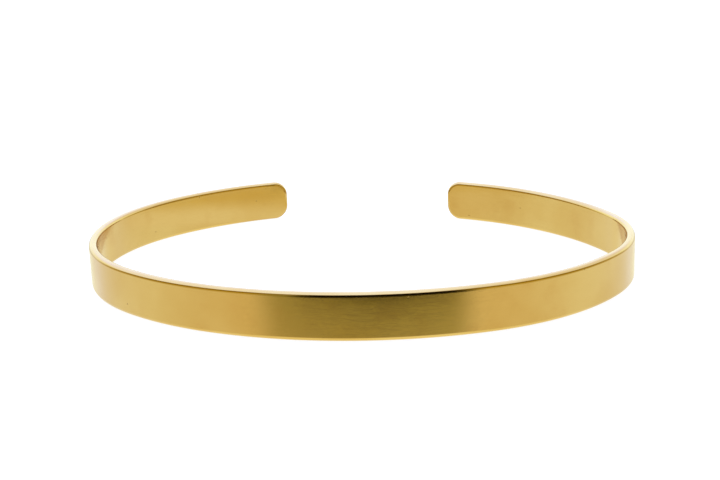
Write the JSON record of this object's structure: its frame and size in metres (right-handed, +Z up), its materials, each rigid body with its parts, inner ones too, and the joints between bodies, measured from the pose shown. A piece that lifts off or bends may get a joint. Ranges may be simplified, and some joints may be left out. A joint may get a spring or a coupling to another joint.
{
  "type": "open cuff bangle",
  "caption": "Slim open cuff bangle: one strip of mirror-polished gold-coloured metal bent into an oval, with rounded edges and ends and a gap at the back.",
  "frame": {"origin": "middle of the footprint on the surface that the bangle lies on, halfway between its extremes in X and in Y, at the height of its lower long edge", "axes": "+Z up along the axis of the wrist opening, +X along the longest width of the oval, -Y towards the closed front and +Y towards the gap between the two ends"},
  "size_m": [0.0628, 0.0488, 0.005],
  "materials": {
    "polished_gold": "mirror-polished gold-coloured metal with faint hairline scratches"
  },
  "bodies": {
    "root": {"bangle": "polished_gold"}
  },
  "joints": []
}
